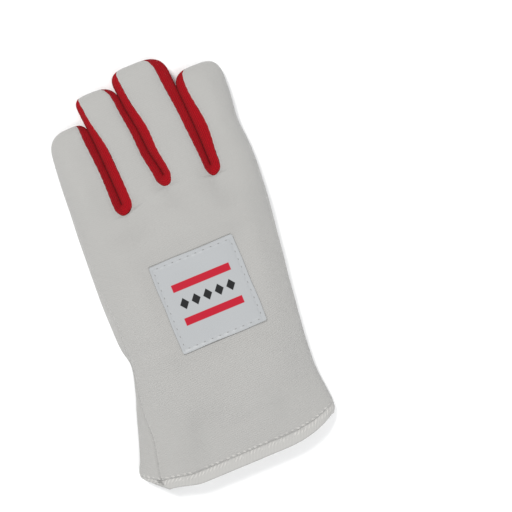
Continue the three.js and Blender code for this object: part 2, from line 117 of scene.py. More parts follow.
# Colours and light
COTTON = (0.408, 0.404, 0.393, 1)
THREAD = (0.56, 0.55, 0.53, 1)
PATCH_THREAD = (0.22, 0.22, 0.22, 1)
RED = (0.35, 0.0035, 0.0095, 1)
FLUFF = (0.5, 0.3, 0.29, 1)
PATCH = (0.373, 0.386, 0.398, 1)
PRINT_RED = (0.39, 0.0015, 0.017, 1)
PRINT_BLACK = (0.005, 0.0055, 0.0065, 1)
TABLE = (0.93, 0.935, 0.94, 1)
KEY_POWER = 25.5
FILL_POWER = 20
WORLD_LIGHT = 0.62

# Scale, detail and roughness of the fibres' noise
FIBRES = (2600, 4, 0.7)

# From the little finger to the index finger: width, length, tip run and sideways shift of the tip
FINGER_SHARES = (
    (0.274, 0.744, 0.155, 0.024),
    (0.2567, 0.9226, 0.137, -0.024),
    (0.2403, 1, 0.161, -0.018),
    (0.229, 0.8274, 0.167, 0.0083),
)
FINGERS = [
    {"width": HAND_WIDTH * w, "length": REACH * long, "tip_run": REACH * run, "tip_shift": REACH * shift}
    for w, long, run, shift in FINGER_SHARES
]

# Palm stations, as shares of the palm's length and width, with crown a share of the back's height
STATIONS = {
    "along": (0, 0.043, 0.124, 0.217, 0.31, 0.4, 0.489, 0.557, 0.65, 0.743, 0.867, 1),
    "left": (0.13, 0.162, 0.132, 0.098, 0.063, 0.022, -0.005, 0.012, 0.016, 0.016, 0.009, 0),
    "right": (-0.138, -0.114, -0.118, -0.127, -0.121, -0.108, -0.091, -0.08, -0.06, -0.042, -0.017, 0),
    "seam": (0.09, 0.1, 0.09, 0.078, 0.043, 0.017, 0.007, 0.028, 0.039, 0.026, 0.013, 0.008),
    "crown": (0.56, 0.6, 0.68, 0.77, 0.86, 0.93, 0.98, 1, 1, 0.99, 0.94, 0.8),
}

# Sway of the five finger lines, as shares of a finger's mean width
SWAYS = {
    "along": (0, 0.19, 0.36, 0.54, 0.72, 1),
    0: (0, 0.04, 0.066, 0.11, 0.16, 0.17),
    1: (0, -0.007, -0.024, -0.048, -0.087, -0.14),
    2: (0, -0.015, -0.11, -0.152, -0.23, -0.3),
    3: (0, 0, 0, -0.017, -0.04, -0.08),
    4: (0, 0, -0.028, 0.035, 0.062, 0.05),
}

# Slots between the fingers: the rise of the foot, and the band on the finger before and after it
SLOTS = {
    1: {"rise": 0, "before": (0.83, 0.75, 0.83), "after": (1.08, 1.07, 0.57)},
    2: {"rise": 0.93, "before": (0.92, 0.77, 0.67), "after": (0.75, 1, 0.8)},
    3: {"rise": 0.27, "before": (0.7, 0.93, 1.17), "after": (0.97, 1.23, 0.92)},
}

# Soft folds in the back: centre across and along, length, spread, lean in degrees and depth
FOLDS = [
    (0.52, 0.955, 0.42, 0.07, 3, 0.045),
    (0.1, 0.5, 0.24, 0.08, -14, 0.07),
    (0.86, 0.46, 0.2, 0.08, 20, 0.06),
    (0.3, 0.2, 0.3, 0.1, 62, 0.05),
    (0.68, 0.17, 0.26, 0.1, 102, 0.045),
]

# Shallow wrinkles, each a hollow beside a ridge, in the same measures but with depth in millimetres
WRINKLES = [
    (0.41, 1.005, 0.1, 0.032, -8, 0.42),
    (0.61, 1.012, 0.13, 0.034, 5, 0.4),
    (0.37, 1.3, 0.09, 0.03, -66, 0.34),
    (0.58, 1.22, 0.14, 0.036, -86, 0.2),
    (0.9, 1.075, 0.1, 0.036, 0, 0.45),
    (0.06, 1.1, 0.14, 0.034, -88, 0.26),
    (0.06, 0.66, 0.2, 0.04, -80, 0.36),
    (0.48, 0.155, 0.26, 0.026, 4, 0.3),
    (0.28, 0.1, 0.16, 0.028, -14, 0.24),
    (0.9, 0.72, 0.16, 0.036, 74, 0.3),
    (0.14, 0.86, 0.13, 0.034, 24, 0.22),
]

# Where the palm fades into the fingers, and the shape of the fingertips and of the seams at them
FADE_START = 0.74
VALLEY_POWER = 2.5
SEAM_CLOSENESS = 0.6
FOLD_CLOSENESS = 0.65
BLUNT_SHARE = 0.985
TIP_POWER = 3
SEAM_STRAIGHT = 0.62
SEAM_SLIVER = 0.6

# Cells of the coarse cloth, which is simulated. The finished cloth has FINE times as many. Those of the thumb
# and of a stitch are along and round it.
BODY_ROWS = 60
HEM_ROWS = 3
FINGER_CELLS = (16, 13, 13, 16)
WRAP_CELLS = 4
WEB_ANGLE_CELLS = 4
RUN_CELLS = 26
TIP_CELLS = 8
WEB_CELLS = 8
FINE = 2
THUMB_CELLS = (70, 72)
PATCH_CELLS = 84
BEAD_CELLS = (6, 8)

# The distance that is given to cloth with no seam near it
NO_SEAM = 20.0

LAST = len(FINGERS) - 1
PALM_WIDTH = sum(finger["width"] for finger in FINGERS)
LONGEST = max(finger["length"] for finger in FINGERS)
KNUCKLES = [-PALM_WIDTH / 2 + sum(f["width"] for f in FINGERS[:k]) for k in range(LAST + 2)]
THUMB_BASE = np.array([0.09 * PALM_WIDTH, 0.375 * PALM_LENGTH])
THUMB_AXIS = np.array([-math.sin(THUMB_LEAN), math.cos(THUMB_LEAN)])
PATCH_CENTRE = (0.008 * PALM_WIDTH, 0.619 * PALM_LENGTH)


def lerp(start, end, share):
    return start + (end - start) * share


def clamp(value, low=0.0, high=1.0):
    return min(max(value, low), high)


def quarter(share):
    """Rises from 0 to 1 like the quarter of a circle."""
    return 1.0 if share >= 1 else math.sqrt(max(0.0, share * (2 - share)))


def smooth(share):
    share = clamp(share)
    return share * share * (3 - 2 * share)


def read(table, column, along):
    """A smooth curve through one column of a table."""
    places, values = table["along"], table[column]
    row = 0
    while row < len(places) - 2 and along > places[row + 1]:
        row += 1
    before, after = max(row - 1, 0), min(row + 2, len(places) - 1)
    run = places[row + 1] - places[row]
    start_slope = (values[row + 1] - values[before]) / (places[row + 1] - places[before]) * run
    end_slope = (values[after] - values[row]) / (places[after] - places[row]) * run
    t = clamp((along - places[row]) / run)
    bend = t * (1 - t) * (start_slope * (1 - t) - end_slope * t)
    return lerp(values[row], values[row + 1], smooth(t)) + bend


# Finger lines and slots


def slot_at(line):
    return min(max(line, 1), LAST)


def slot_rise(line):
    return WEB_DEPTH * SLOTS[slot_at(line)]["rise"]


def gap_y(line):
    return PALM_LENGTH + slot_rise(line) + WEB_DEPTH


def line_x(line, y):
    along = max(0.0, (y - PALM_LENGTH) / LONGEST)
    return KNUCKLES[line] + PALM_WIDTH / len(FINGERS) * read(SWAYS, line, along)


def band_width(finger, side, share):
    line = finger + side
    if slot_at(line) != line:
        return 0.0
    foot, middle, tip = SLOTS[line]["before" if side else "after"]
    t = clamp(share)
    width = lerp(foot, middle, smooth(2 * t)) if t < 0.5 else lerp(middle, tip, smooth(2 * t - 1))
    return BAND_SHOW * width


def valley(finger, u):
    """1 at a fourchette seam, falling to 0 in the middle of a finger and towards an outer fold."""
    outward = (finger == 0 and u < 0.5) or (finger == LAST and u > 0.5)
    return 0.0 if outward else abs(2 * u - 1) ** VALLEY_POWER


# Palm body


@lru_cache(maxsize=None)
def station(along):
    return {
        "left": KNUCKLES[0] - PALM_WIDTH * read(STATIONS, "left", along),
        "right": KNUCKLES[-1] + PALM_WIDTH * read(STATIONS, "right", along),
        "seam": PALM_WIDTH * read(STATIONS, "seam", along),
        "crown": BACK_TOP * read(STATIONS, "crown", along),
    }


def from_fold(x, y, across, along, lean):
    """How far along a fold and off to its side a place is, as shares of the palm's width."""
    dx = (x - KNUCKLES[0] - PALM_WIDTH * across) / PALM_WIDTH
    dy = (y - PALM_LENGTH * along) / PALM_WIDTH
    cos, sin = math.cos(math.radians(lean)), math.sin(math.radians(lean))
    return dx * cos + dy * sin, dy * cos - dx * sin


def fold_depth(x, y):
    total = 0.0
    for across, along, length, spread, lean, depth in FOLDS:
        run, off = from_fold(x, y, across, along, lean)
        total += BACK_TOP * depth * math.exp(-((run / length) ** 2) - (off / spread) ** 2)
    return total


def back_height(x, left, right, crown, edge_run):
    return lerp(FOLD_HEIGHT, crown, quarter((x - left) / edge_run) * quarter((right - x) / edge_run))


def thumb_tent(x, y, left, right):
    """How far the palm cloth is lifted off the table by the thumb under it."""
    offset = np.array([x, y]) - THUMB_BASE
    radius = THUMB_WIDTH / 2
    along = clamp(float(offset @ THUMB_AXIS), radius, THUMB_LENGTH - radius)
    beyond = float(np.hypot(*(offset - THUMB_AXIS * along))) - radius - THUMB_TENT_EASE
    in_from_side = min(x - left, right - x) - PALM_EDGE_RUN
    return THUMB_TOP * (1 - smooth(beyond / THUMB_TENT_RUN)) * smooth(in_from_side / THUMB_TENT_RUN)


def palm_height(x, y, left, right):
    inside = quarter((x - left) / PALM_EDGE_RUN) * quarter((right - x) / PALM_EDGE_RUN)
    return FOLD_HEIGHT * (1 - inside) + thumb_tent(x, y, left, right)


def near_fingers(along):
    return smooth((along - FADE_START) / (1 - FADE_START))


def finger_shares(finger, level):
    """Shares across a finger, closer together at its seams and closer still at an outer fold."""
    count = FINGER_CELLS[finger] * level
    steps = np.arange(count + 1) / count
    if finger in (0, LAST):
        return [float(v) for v in lerp(steps, (1 - np.cos(np.pi * steps)) / 2, FOLD_CLOSENESS)]
    return [float(v) for v in steps - SEAM_CLOSENESS * np.sin(2 * np.pi * steps) / (2 * np.pi)]


def wrap_shares(level):
    """From the seam to just short of the fold, in the cloth wrapped over a side."""
    count = WRAP_CELLS * level
    return [(1 - k / count) ** 2 for k in range(count)]


def body_columns(level):
    columns = []
    for finger in range(LAST + 1):
        for u in finger_shares(finger, level)[1 if finger else 0:]:
            x = lerp(KNUCKLES[finger], KNUCKLES[finger + 1], u)
            rise = lerp(slot_rise(finger), slot_rise(finger + 1), u)
            columns.append({"finger": finger, "u": u, "across": (x - KNUCKLES[0]) / PALM_WIDTH, "rise": rise})
    return columns


def body_place(column, along, wrapped):
    at = station(along)
    across = column["across"]
    outward = abs(2 * across - 1)
    if across < 0.5:
        rise = CUFF_RISE_LITTLE * smooth((outward - LITTLE_RISE_START) / (1 - LITTLE_RISE_START))
    else:
        climb = clamp((outward - THUMB_RISE_START) / (1 - THUMB_RISE_START))
        rise = CUFF_RISE_THUMB * climb**THUMB_RISE_POWER
    corner = CUFF_CORNER * (1 - wrapped) * (1 - smooth(across / CUFF_CORNER_RUN))
    lift = (rise + corner) * max(0.0, 1 - along / CUFF_RISE_RUN) ** 2
    x = lerp(at["left"] + at["seam"] * wrapped, at["right"] - SIDE_WRAP * wrapped, across)
    return x, PALM_LENGTH * along + lift + column["rise"] * near_fingers(along)


def back_body_point(column, along, wrapped=1.0):
    at = station(along)
    x, y = body_place(column, along, wrapped)
    edge_run = lerp(BACK_EDGE_RUN, FINGER_EDGE_RUN, near_fingers(along))
    dip = SEAM_DIP * valley(column["finger"], column["u"]) * near_fingers(along) ** 3
    height = back_height(x, at["left"], at["right"], at["crown"], edge_run) - dip
    return (x, y, height - fold_depth(x, y) * smooth(height / FOLD_HEIGHT - 1))


def palm_body_point(column, along):
    at = station(along)
    x, y = body_place(column, along, 0.0)
    lift = PALM_SEAM_LIFT * valley(column["finger"], column["u"]) * near_fingers(along)
    on_hem = (HEM_WALL - CLOTH) / 2 * (1 - smooth(PALM_LENGTH * along / HEM_WIDTH / 2 - 1))
    return (x, y, palm_height(x, y, at["left"], at["right"]) + lift + on_hem)


def body_row(along, level):
    columns, wraps = body_columns(level), wrap_shares(level)
    back = [back_body_point(column, along) for column in columns]
    right = [back_body_point(columns[-1], along, share) for share in wraps]
    under = [palm_body_point(column, along) for column in reversed(columns)]
    left = [back_body_point(columns[0], along, share) for share in reversed(wraps)]
    return back, right + under + left


# Fingers


def finger_levels(level):
    webs, runs, tips = WEB_ANGLE_CELLS * level, RUN_CELLS * level, TIP_CELLS * level
    levels = [("angle", math.pi / 2 * (1 - k / webs)) for k in range(webs)]
    levels += [("run", k / runs) for k in range(runs + 1)]
    return levels + [("tip", math.sin(math.pi / 2 * k / tips)) for k in range(1, tips + 1)]


def finger_side(finger, side, kind, value):
    """One side of a finger at a level: its silhouette x, its seam x and its y."""
    line = finger + side
    inward = -1 if side else 1
    foot = gap_y(line)
    shoulder = PALM_LENGTH + FINGERS[finger]["length"] - FINGERS[finger]["tip_run"]
    clear = FINGER_CLEARANCE / 2 if slot_at(line) == line else 0.0
    if kind == "angle":
        y = foot - WEB_DEPTH * math.sin(value)
        reach = math.cos(value) * inward
        centre = line_x(line, foot if clear else y)
        band = clear + band_width(finger, side, 0)
        return {"x": centre + clear * reach, "seam": centre + band * reach, "y": y}
    y = lerp(foot, shoulder, value) if kind == "run" else shoulder + FINGERS[finger]["tip_run"] * value
    x = line_x(line, y) + inward * clear
    share = (y - foot) / (shoulder - foot)
    return {"x": x, "seam": x + inward * band_width(finger, side, share), "y": y}


def finger_section(finger, kind, value):
    left, right = (finger_side(finger, side, kind, value) for side in (0, 1))
    if kind == "tip":
        tip = min(value, BLUNT_SHARE)
        centre = (left["x"] + right["x"]) / 2 + FINGERS[finger]["tip_shift"] * tip * tip
        wide = (right["x"] - left["x"]) / 2
        half = wide * (1 - tip**TIP_POWER) ** (1 / TIP_POWER)
        for side, edge in ((left, centre - half), (right, centre + half)):
            band = side["seam"] - side["x"]
            least = SEAM_SLIVER * (1 - value)
            narrowed = min(abs(band), max(abs(band) - SEAM_STRAIGHT * (wide - half), least))
            side["x"], side["seam"] = edge, edge + math.copysign(narrowed, band)
    feet = [gap_y(finger + side) - WEB_DEPTH for side in (0, 1)]
    from_foot = (left["y"] - feet[0] + right["y"] - feet[1]) / 2
    return {
        "left": left,
        "right": right,
        "low": left["x"] if finger == 0 else -1e6,
        "high": right["x"] if finger == LAST else 1e6,
        "crown": lerp(FINGER_HEIGHT, station(1)["crown"], math.exp(-from_foot / KNUCKLE_RUN)),
        "wrap": 0.0 if kind == "tip" else 1 - (value if kind == "run" else 0.0),
        "tip_y": PALM_LENGTH + FINGERS[finger]["length"],
    }


def finger_point(finger, section, u, wrapped=1.0, is_back=True):
    """A point of a finger's back or palm side. Palm cloth is wrapped over an outer side by a share."""
    left_inset = station(1)["seam"] * section["wrap"] * wrapped if finger == 0 else 0.0
    right_inset = SIDE_WRAP * section["wrap"] * wrapped if finger == LAST else 0.0
    x = lerp(section["left"]["seam"] + left_inset, section["right"]["seam"] - right_inset, u)
    y = lerp(section["left"]["y"], section["right"]["y"], u)
    low, high = section["low"], section["high"]
    if is_back:
        flat = back_height(x, low, high, section["crown"], FINGER_EDGE_RUN) - SEAM_DIP * valley(finger, u)
        flat -= fold_depth(x, y) * smooth(flat / FOLD_HEIGHT - 1)
    else:
        flat = palm_height(x, y, low, high) + PALM_SEAM_LIFT * valley(finger, u)
    return (x, y, lerp(FOLD_HEIGHT, flat, quarter((section["tip_y"] - y) / TIP_EDGE_RUN)))


def finger_row(finger, section, level):
    shares, wraps = finger_shares(finger, level), wrap_shares(level)
    back = [finger_point(finger, section, u) for u in shares]
    under = [finger_point(finger, section, u, 0.0, False) for u in reversed(shares)]
    right = [finger_point(finger, section, 1, share) for share in wraps] if finger == LAST else []
    left = [finger_point(finger, section, 0, share) for share in reversed(wraps)] if finger == 0 else []
    return back, right + under + left


def web_row(finger, side, section, level):
    """Across a fourchette, bulging from its two seams to the finger's silhouette."""
    top = finger_point(finger, section, side)
    bottom = finger_point(finger, section, side, 0.0, False)
    edge = section["right" if side else "left"]
    rise = max(0.0, gap_y(finger + side) - edge["y"]) * (1 - FINGER_CLEARANCE / 2 / WEB_DEPTH)
    row = []
    for k in range(WEB_CELLS * level + 1):
        angle = math.pi * k / (WEB_CELLS * level)
        bulge = math.sin(angle)
        height = lerp(top[2], bottom[2], (1 - math.cos(angle)) / 2)
        row.append((lerp(top[0], edge["x"], bulge), top[1] + rise * bulge, height))
    return row


def glove_grids(level):
    """Every grid of the glove's skin, as a list of (piece, rows of points)."""
    hem_share = HEM_WIDTH / PALM_LENGTH
    hem = [body_row(hem_share * k / (HEM_ROWS * level), level) for k in range(HEM_ROWS * level + 1)]
    grids = [("cuff_hem", [back + palm[1:] for back, palm in hem])]
    body = [body_row(lerp(hem_share, 1, k / (BODY_ROWS * level)), level) for k in range(BODY_ROWS * level)]
    sections = [[finger_section(f, *at) for at in finger_levels(level)] for f in range(LAST + 1)]
    feet = [finger_row(f, sections[f][0], level) for f in range(LAST + 1)]
    back_foot, palm_foot = [], []
    for finger, (back, _) in enumerate(feet):
        back_foot += back[1 if finger else 0:]
    for finger, (_, palm) in enumerate(reversed(feet)):
        palm_foot += palm[1 if finger else 0:]
    body.append((back_foot, palm_foot))
    grids.append(("back_panel", [back for back, _ in body]))
    grids.append(("palm_panel", [palm for _, palm in body]))
    for finger, levels in enumerate(sections):
        rows = [finger_row(finger, section, level) for section in levels]
        grids.append(("back_panel", [back for back, _ in rows]))
        grids.append(("palm_panel", [palm for _, palm in rows]))
    names = {1: "fourchette_ring_little", 2: "fourchette_middle_ring", 3: "fourchette_index_middle"}
    for line, name in names.items():
        down = [web_row(line, 0, section, level) for section in reversed(sections[line])]
        up = [web_row(line - 1, 1, section, level) for section in sections[line - 1]]
        grids.append((name, down + up[1:]))
    return [(name, np.array(rows)) for name, rows in grids]


# The skin as one cloth, with its points shared between pieces


def weld(grids):
    """Every point once, and for each grid the numbers of its points."""
    numbers, points, indexes = {}, [], []
    for _, rows in grids:
        flat = rows.reshape(-1, 3)
        index = np.empty(len(flat), int)
        for at, key in enumerate(map(tuple, np.round(flat * 1e4).astype(int))):
            if key not in numbers:
                numbers[key] = len(points)
                points.append(flat[at])
            index[at] = numbers[key]
        indexes.append(index.reshape(rows.shape[:2]))
    return np.array(points), indexes


def quads_of(index):
    corners = (index[:-1, :-1], index[:-1, 1:], index[1:, 1:], index[1:, :-1])
    return np.stack([corner.ravel() for corner in corners], axis=1)


def piece_quads(piece, grids, indexes):
    """The faces of one piece of the skin."""
    return np.concatenate([quads_of(index) for (name, _), index in zip(grids, indexes) if name == piece])


def unit(vectors):
    return vectors / np.maximum(np.linalg.norm(vectors, axis=1, keepdims=True), 1e-12)


def normals_of(points, quads):
    """Summed normals at each point, and the sum of their lengths."""
    normal = np.cross(points[quads[:, 2]] - points[quads[:, 0]], points[quads[:, 3]] - points[quads[:, 1]])
    sums, weights = np.zeros((len(points), 3)), np.zeros(len(points))
    for corner in range(4):
        np.add.at(sums, quads[:, corner], normal)
        np.add.at(weights, quads[:, corner], np.linalg.norm(normal, axis=1))
    return sums, weights


def seam_lines(grids):
    """The seams as lines of points, each with how hard it draws: finger strips, sides and fingertips. The
    top of the hem is apart."""
    strips = [rows for name, rows in grids if name.startswith("fourchette")]
    hem = grids[0][1]
    body, _, *rest = [rows for _, rows in grids[1:]]
    backs = rest[0:2 * (LAST + 1):2]
    lines = [(line, 1) for rows in strips for line in (rows[:, 0], rows[:, -1])]
    lines += [(body[:, 0], 0.7), (backs[0][:, 0], 0.5), (body[:, -1], 0.25), (backs[-1][:, -1], 0.25)]
    lines += [(rows[-1], 0.1) for rows in backs]
    return lines, (hem[-1], 1)


class SeamFinder:
    """Tells how far a point is from the nearest of some lines, and how far along the line that is."""

    def __init__(self, lines, step=0.4):
        spots, lengths, pulls, start = [], [], [], 0.0
        for line, pull in lines:
            run = np.concatenate([[0], np.cumsum(np.linalg.norm(np.diff(line, axis=0), axis=1))])
            at = np.linspace(0, run[-1], max(2, int(run[-1] / step)))
            spots.append(np.stack([np.interp(at, run, line[:, axis]) for axis in range(3)], axis=1))
            lengths.append(at + start)
            pulls.append(np.full(len(at), pull))
            start += run[-1] + 5
        spots, self.lengths, self.pulls = (np.concatenate(parts) for parts in (spots, lengths, pulls))
        self.tree = KDTree(len(spots))
        for number, spot in enumerate(spots):
            self.tree.insert(spot, number)
        self.tree.balance()

    def find(self, points):
        found = [self.tree.find(point) for point in points]
        distances = np.array([distance for _, _, distance in found])
        numbers = [number for _, number, _ in found]
        return distances, self.lengths[numbers], self.pulls[numbers]


def smooth_all(share):
    share = np.clip(share, 0, 1)
    return share * share * (3 - 2 * share)


def bell(share):
    return np.exp(-(share**2))


def new_object(name, data):
    made = bpy.data.objects.new(name, data)
    bpy.context.scene.collection.objects.link(made)
    return made


def relax(points, quads, give, scale=0.01):
    """The cloth's own slack: it grows a little, with its seams held, and settles into soft folds."""
    mesh = bpy.data.meshes.new("slack_cloth")
    mesh.from_pydata((points * scale).tolist(), [], quads.tolist())
    cloth = new_object("slack_cloth", mesh)
    held = cloth.vertex_groups.new(name="held")
    for number, share in enumerate(give):
        held.add([number], float(1 - share), "REPLACE")
    modifier = cloth.modifiers.new("slack", "CLOTH")
    settings = modifier.settings
    settings.quality = 6
    settings.mass = 0.2
    settings.tension_stiffness = settings.compression_stiffness = 12
    settings.shear_stiffness = 6
    settings.bending_stiffness = 2
    settings.vertex_group_mass = "held"
    settings.pin_stiffness = 1.2
    settings.shrink_min = -0.05
    settings.use_pressure = True
    settings.uniform_pressure_force = 0.1
    settings.effector_weights.gravity = 0
    modifier.point_cache.frame_start = 1
    modifier.point_cache.frame_end = SETTLE_FRAMES
    for number in range(1, SETTLE_FRAMES + 1):
        bpy.context.scene.frame_set(number)
    settled = cloth.evaluated_get(bpy.context.evaluated_depsgraph_get()).to_mesh()
    places = np.empty(len(points) * 3)
    settled.vertices.foreach_get("co", places)
    bpy.context.scene.frame_set(1)
    bpy.data.objects.remove(cloth)
    bpy.data.meshes.remove(mesh)
    moved = places.reshape(-1, 3) / scale - points
    reach = np.linalg.norm(moved, axis=1, keepdims=True)
    return moved * np.minimum(1, MOST_SLACK / np.maximum(reach, 1e-9))


def finer(rows):
    """A grid of vectors with a new row and column halfway between every two."""
    for axis in (0, 1):
        rows = np.moveaxis(rows, axis, 0)
        between = np.empty((2 * len(rows) - 1, *rows.shape[1:]))
        between[::2] = rows
        between[1::2] = (rows[1:] + rows[:-1]) / 2
        rows = np.moveaxis(between, 0, axis)
    return rows


coarse_grids = glove_grids(1)
coarse_points, coarse_indexes = weld(coarse_grids)
coarse_quads = np.concatenate([quads_of(index) for index in coarse_indexes])
coarse_quads = coarse_quads[[len(set(quad)) == 4 for quad in coarse_quads.tolist()]]
strip_lines, hem_line = seam_lines(coarse_grids)
from_seam, _, _ = SeamFinder([*strip_lines, hem_line]).find(coarse_points)
on_back = np.zeros(len(coarse_points))
on_back[piece_quads("back_panel", coarse_grids, coarse_indexes)] = 1
on_back *= smooth_all((coarse_points[:, 2] - 5) / 3)
patch_off = np.abs(coarse_points[:, :2] - PATCH_CENTRE) - (PATCH_WIDTH / 2, PATCH_LENGTH / 2)
stiff = 1 - 0.6 * smooth_all(1 - patch_off.max(axis=1) / 6)
coarse_moves = relax(coarse_points, coarse_quads, on_back * stiff * smooth_all((from_seam - 1.5) / 11))
coarse_moves *= smooth_all((from_seam - 1) / 8)[:, None]


def height_under(surface, x, y):
    """Where a surface is met from above, or None beside it."""
    hit = surface.ray_cast(ABOVE + Vector((x, y, 0)), DOWN)[0]
    return None if hit is None else hit.z


def ease(values, points, quads, share, rounds):
    """Draws each point's value some way towards its neighbours' mean, in which nearer ones count for more."""
    ends = np.concatenate([quads[:, [k, (k + 1) % 4]] for k in range(4)])
    ends = np.concatenate([ends, ends[:, ::-1]])
    near = 1 / np.maximum(np.linalg.norm(points[ends[:, 0]] - points[ends[:, 1]], axis=1), 0.02)
    total = np.bincount(ends[:, 0], near, len(values))
    for _ in range(rounds):
        mean = np.bincount(ends[:, 0], near * values[ends[:, 1]], len(values)) / total
        values = values + (mean - values) * share
    return values


def level_out(points, quads, reach, pitch=1.0):
    """For each point, the mean height of a cloth round its place, over a reach in plan."""
    surface = BVHTree.FromPolygons(points.tolist(), quads.tolist())
    low = points.min(axis=0) - 4 * reach
    across, along = (int(np.ptp(points[:, axis] / pitch) + 8 * reach / pitch) + 2 for axis in (0, 1))
    seen, heights = np.zeros((across, along)), np.zeros((across, along))
    for i in range(across):
        for j in range(along):
            height = height_under(surface, low[0] + i * pitch, low[1] + j * pitch)
            if height is not None:
                seen[i, j], heights[i, j] = 1, height
    steps = np.arange(-int(3 * reach / pitch), int(3 * reach / pitch) + 1)
    weights = np.exp(-((steps * pitch / reach) ** 2) / 2)
    for axis in (0, 1):
        seen = np.apply_along_axis(np.convolve, axis, seen, weights, "same")
        heights = np.apply_along_axis(np.convolve, axis, heights, weights, "same")
    means = heights / np.maximum(seen, 1e-9)
    spot = (points[:, :2] - low[:2]) / pitch
    first = spot.astype(int)
    u, v = (spot - first).T
    i, j = first.T
    near, far = lerp(means[i, j], means[i + 1, j], u), lerp(means[i, j + 1], means[i + 1, j + 1], u)
    return lerp(near, far, v)


def wrinkle_height(points):
    total = np.zeros(len(points))
    for across, along, length, spread, lean, depth in WRINKLES:
        run, off = from_fold(points[:, 0], points[:, 1], across, along, lean)
        run = run / length
        off = off / spread + 0.5 * run**2
        total += depth * bell(run) * (0.6 * bell(off - 1.4) - bell(off))
    return total


grids = glove_grids(FINE)
skin_points, skin_indexes = weld(grids)
moves = np.zeros_like(skin_points)
on_back = np.zeros(len(skin_points))
for index, coarse in zip(skin_indexes, coarse_indexes):
    moves[index.ravel()] = finer(coarse_moves[coarse]).reshape(-1, 3)

back_quads = piece_quads("back_panel", grids, skin_indexes)
on_back[back_quads] = 1
skin_quads = np.concatenate([quads_of(index) for index in skin_indexes])
strip_lines, hem_line = seam_lines(grids)
seam_distance, seam_length, seam_pull = SeamFinder(strip_lines).find(skin_points)
hem_distance, hem_length, _ = SeamFinder([hem_line]).find(skin_points)
free = smooth_all((seam_distance - 0.5) / 5) * smooth_all((hem_distance - 0.5) / 3)
free *= on_back * smooth_all((skin_points[:, 2] - 3) / 3)
plain = skin_points.copy()
skin_points[:, 2] = ease(plain[:, 2], plain, skin_quads, 0.8 * free, CREASE_ROUNDS)
skin_points[:, 2] += SLACK_SHARE * ease(moves[:, 2], plain, skin_quads, 0.9 * free, SLACK_ROUNDS)
even = smooth_all(seam_distance / 12) * free
skin_points[:, 2] = lerp(skin_points[:, 2], level_out(skin_points, back_quads, LEVEL_REACH), even)
skin_points[:, 2] += free * wrinkle_height(skin_points)


def lean_of(points):
    """The way each point faces: of length 1 on flat cloth, and near 0 where the cloth comes to a point."""
    sums, weights = normals_of(points, skin_quads)
    return sums / np.maximum(weights, 1e-12)[:, None]


skin_normals = lean_of(skin_points)

# Seams draw the cloth in and pucker it, and so does the top of the hem.
above_table = smooth_all((skin_points[:, 2] - 0.8) / 1.5)
pucker = 0.5 + 0.5 * np.sin(2 * np.pi * seam_length / PUCKER_PITCH + 1.9 * np.sin(seam_length / 5.3))
pucker *= 0.6 + 0.4 * np.sin(seam_length / 3.7)
draw_in = SEAM_DRAW * bell(seam_distance / 1.1) + SEAM_PUCKER * pucker * bell(seam_distance / 2.4)
gather = np.sin(2 * np.pi * hem_length / GATHER_PITCH + 1.3 * np.sin(hem_length / 11))
tip_distance, _, _ = SeamFinder(strip_lines[-LAST - 1:]).find(skin_points)
draw_in *= seam_pull * smooth_all((tip_distance - 0.5) / 4)
draw_in += HEM_DRAW * np.exp(-hem_distance / 1.2) + HEM_GATHER * gather * np.exp(-hem_distance / 6)
skin_points -= skin_normals * (draw_in * above_table)[:, None]
wander = SEAM_WANDER * seam_pull * bell(seam_distance / 1.6) * smooth_all((tip_distance - 2) / 6)
skin_points[:, 0] += wander * np.sin(2 * np.pi * seam_length / 4.7 + 2 * np.sin(seam_length / 5.9))
skin_points[:, 1] += wander * np.sin(2 * np.pi * seam_length / 5.3 + 1.7 * np.sin(seam_length / 7.3))
skin_points[:, 2] = np.maximum(skin_points[:, 2], 0)
skin_normals = lean_of(skin_points)
skin_normals /= np.maximum((skin_normals**2).sum(axis=1), 0.49)[:, None]

# The glove's middle lies on the frame's origin.
every_point = np.concatenate([rows.reshape(-1, 3) for _, rows in grids])
middle = (every_point.min(axis=0) + every_point.max(axis=0)) / 2
SHIFT = np.array([-middle[0], -middle[1], 0])


# Cloth coordinates in millimetres: across from a grid's middle column, and along from its first row


def run_along(steps, axis):
    """Lengths from the first point of each row or column, from the steps between its points."""
    runs = np.cumsum(steps, axis=axis)
    return np.concatenate([np.zeros_like(runs.take([0], axis)), runs], axis=axis)


def cloth_coordinates(rows):
    across = run_along(np.linalg.norm(np.diff(rows, axis=1), axis=2), 1)
    middle = across.shape[1] // 2
    along = run_along(np.linalg.norm(np.diff(rows, axis=0), axis=2), 0)
    return np.stack([across - across[:, middle:middle + 1], along], axis=2)


def panel_coordinates(rows, across_start=0.0, along_start=0.0):
    """The same for a panel cut flat, whose threads keep their direction however its columns run."""
    step = np.diff(rows, axis=1)
    across = run_along(np.hypot(step[..., 0], step[..., 2]), 1)
    middle = across.shape[1] // 2
    way = np.sign(rows[0, middle + 1, 0] - rows[0, middle, 0])
    drift = way * (rows[:, middle, 0] - rows[0, middle, 0])
    across += drift[:, None] + across_start - across[:, middle:middle + 1]
    step = np.diff(rows, axis=0)
    along = run_along(np.hypot(step[..., 1], step[..., 2]), 0)
    return np.stack([across, along + along_start], axis=2)


